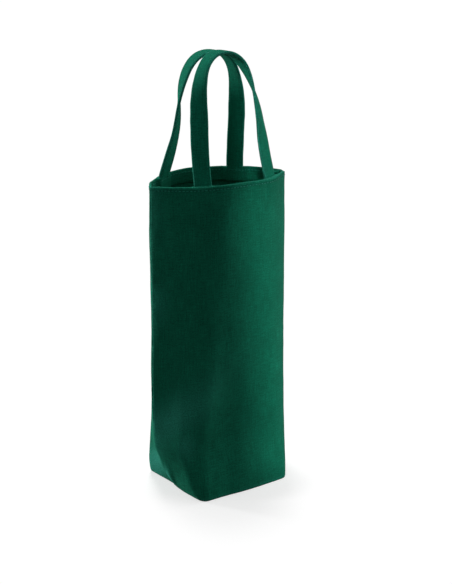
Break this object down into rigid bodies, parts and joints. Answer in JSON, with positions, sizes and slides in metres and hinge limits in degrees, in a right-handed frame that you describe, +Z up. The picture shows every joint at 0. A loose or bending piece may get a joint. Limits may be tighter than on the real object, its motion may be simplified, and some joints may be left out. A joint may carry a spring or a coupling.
{
  "type": "bottle bag",
  "caption": "Upright narrow canvas bag with a boxed base, an open hemmed mouth and a sewn-in strap loop on each long side, for carrying one bottle.",
  "frame": {"origin": "on the floor, under the middle of the base", "axes": "+Z up out of the mouth; +X along the long side of the base, from one side seam to the other; -Y towards the front panel"},
  "size_m": [0.135, 0.0852, 0.3752],
  "materials": {
    "canvas": "plain-woven dyed cotton canvas, matt",
    "strap": "the same canvas folded into a flat strap and edge-stitched"
  },
  "bodies": {
    "bag": {"front_panel": "canvas", "back_panel": "canvas", "front_left_strap_end": "strap", "front_right_strap_end": "strap", "back_left_strap_end": "strap", "back_right_strap_end": "strap"},
    "front_loop": {"front_handle": "strap"},
    "back_loop": {"back_handle": "strap"}
  },
  "joints": [
    {"name": "front_loop_fold", "type": "hinge", "parent": "bag", "child": "front_loop", "pos_m": [0, -0.039, 0.27], "axis": [1, 0, 0], "range_deg": [0, 175]},
    {"name": "back_loop_fold", "type": "hinge", "parent": "bag", "child": "back_loop", "pos_m": [0, 0.039, 0.27], "axis": [-1, 0, 0], "range_deg": [0, 175]}
  ]
}
